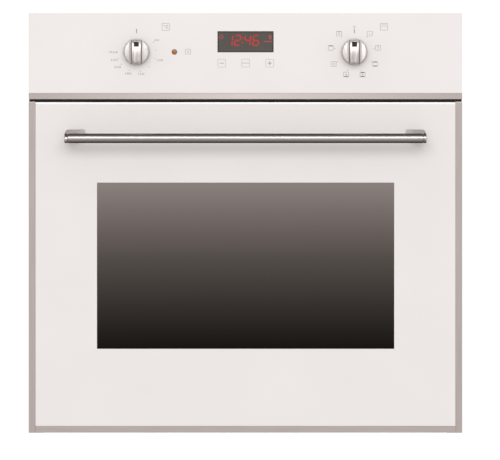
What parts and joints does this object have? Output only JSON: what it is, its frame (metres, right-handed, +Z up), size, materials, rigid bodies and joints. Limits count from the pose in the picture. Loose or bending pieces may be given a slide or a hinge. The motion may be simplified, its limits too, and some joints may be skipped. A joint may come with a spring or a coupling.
{
  "type": "wall oven",
  "caption": "Built-in electric wall oven with a drop-down glass door, a bar handle, two rotary dials and a clock.",
  "frame": {"origin": "middle of the footprint, on the surface that the oven's base rails stand on", "axes": "+X to the right seen from the front, +Y from the door to the back, +Z up"},
  "size_m": [0.595, 0.6126, 0.578],
  "materials": {
    "white_glass": "gloss, enamelled white behind",
    "clear_glass": "gloss",
    "satin_metal": "satin",
    "handle_metal": "satin",
    "dial_plastic": "satin silver",
    "black_plastic": "matt",
    "board": "matt",
    "lamp_orange": "clear orange",
    "zinc_steel": "bare zinc plated sheet",
    "enamel": "gloss vitreous enamel",
    "chrome_wire": "polished",
    "heater_steel": "oxidised",
    "wool": "mineral wool",
    "seal_rubber": "matt",
    "motor_steel": "laminated",
    "fan_aluminium": "satin",
    "ceramic_white": "matt",
    "copper_tube": "satin",
    "switch_plastic": "matt",
    "spring_steel": "bright"
  },
  "bodies": {
    "oven": {"control_glass": "white_glass", "control_strip": "satin_metal", "control_chassis": "zinc_steel", "clock_module": "board", "timer_housing": "black_plastic", "pilot_lamp": "lamp_orange", "thermostat": "zinc_steel", "function_switch": "switch_plastic", "front_frame": "enamel", "door_seal": "seal_rubber", "cavity_liner": "enamel", "insulation": "wool", "side_rack_left": "chrome_wire", "side_rack_right": "chrome_wire", "grill_element": "heater_steel", "bottom_element": "heater_steel", "ring_element": "heater_steel", "fan_cover": "enamel", "fan_motor": "motor_steel", "lamp_lens": "clear_glass", "lamp_holder": "ceramic_white", "thermostat_bulb": "copper_tube", "air_duct": "zinc_steel", "cooling_motor": "motor_steel", "base_panel": "zinc_steel", "side_panel_left": "zinc_steel", "side_panel_right": "zinc_steel", "top_cover": "zinc_steel", "back_panel": "zinc_steel", "rear_cover": "zinc_steel", "terminal_box": "black_plastic", "cable_gland": "black_plastic", "hinge_arms": "spring_steel", "hinge_receivers": "zinc_steel", "casing_screws": "spring_steel"},
    "door": {"door_outer_glass": "white_glass", "door_middle_glass": "clear_glass", "door_inner_glass": "clear_glass", "door_inner_frame": "enamel", "door_side_trims": "satin_metal", "door_bottom_trim": "satin_metal", "glass_spacers": "seal_rubber", "handle_tube": "handle_metal", "handle_bracket_left": "handle_metal", "handle_bracket_right": "handle_metal", "handle_screws": "spring_steel", "hinge_channels": "zinc_steel", "hinge_pins": "spring_steel", "hinge_springs": "spring_steel"},
    "spring_rods": {"hinge_rods": "spring_steel"},
    "thermostat_dial": {"thermostat_knob": "dial_plastic", "thermostat_pointer": "black_plastic", "thermostat_shaft": "spring_steel"},
    "function_dial": {"function_knob": "dial_plastic", "function_pointer": "black_plastic", "function_shaft": "spring_steel"},
    "oven_fan": {"fan_wheel": "fan_aluminium"},
    "cooling_blower": {"cooling_impeller": "fan_aluminium"},
    "shelf": {"wire_shelf": "chrome_wire"},
    "tray": {"baking_tray": "enamel"}
  },
  "joints": [
    {"name": "door_hinge", "type": "hinge", "parent": "oven", "child": "door", "pos_m": [0, -0.24785, 0.014], "axis": [1, 0, 0], "range_deg": [0, 90], "stiffness_Nm_per_rad": 5.2, "springref_deg": -40.11, "deforming": ["hinge_springs"]},
    {"name": "spring_rod_lift", "type": "slide", "parent": "door", "child": "spring_rods", "axis": [0, 0, 1], "range_m": [0, 0.0071], "deforming": ["hinge_springs"]},
    {"name": "thermostat_turn", "type": "hinge", "parent": "oven", "child": "thermostat_dial", "pos_m": [-0.1495, -0.26185, 0.5246], "axis": [0, 1, 0], "range_deg": [0, 270]},
    {"name": "function_turn", "type": "hinge", "parent": "oven", "child": "function_dial", "pos_m": [0.1495, -0.26185, 0.5246], "axis": [0, 1, 0], "continuous": true},
    {"name": "oven_fan_spin", "type": "hinge", "parent": "oven", "child": "oven_fan", "pos_m": [0, 0.16635, 0.244], "axis": [0, 1, 0], "continuous": true},
    {"name": "cooling_blower_spin", "type": "hinge", "parent": "oven", "child": "cooling_blower", "pos_m": [0, 0.06815, 0.45], "axis": [0, 0, 1], "continuous": true},
    {"name": "shelf_slide", "type": "slide", "parent": "oven", "child": "shelf", "axis": [0, -1, 0], "range_m": [0, 0.2]},
    {"name": "tray_slide", "type": "slide", "parent": "oven", "child": "tray", "axis": [0, -1, 0], "range_m": [0, 0.175]}
  ],
  "couplings": [
    {"joint": "spring_rod_lift", "follows": "door_hinge", "m_per_rad": 0.0045016},
    {"joint": "shelf_slide", "follows": "door_hinge", "m_per_rad": 0.125},
    {"joint": "tray_slide", "follows": "door_hinge", "m_per_rad": 0.11}
  ]
}
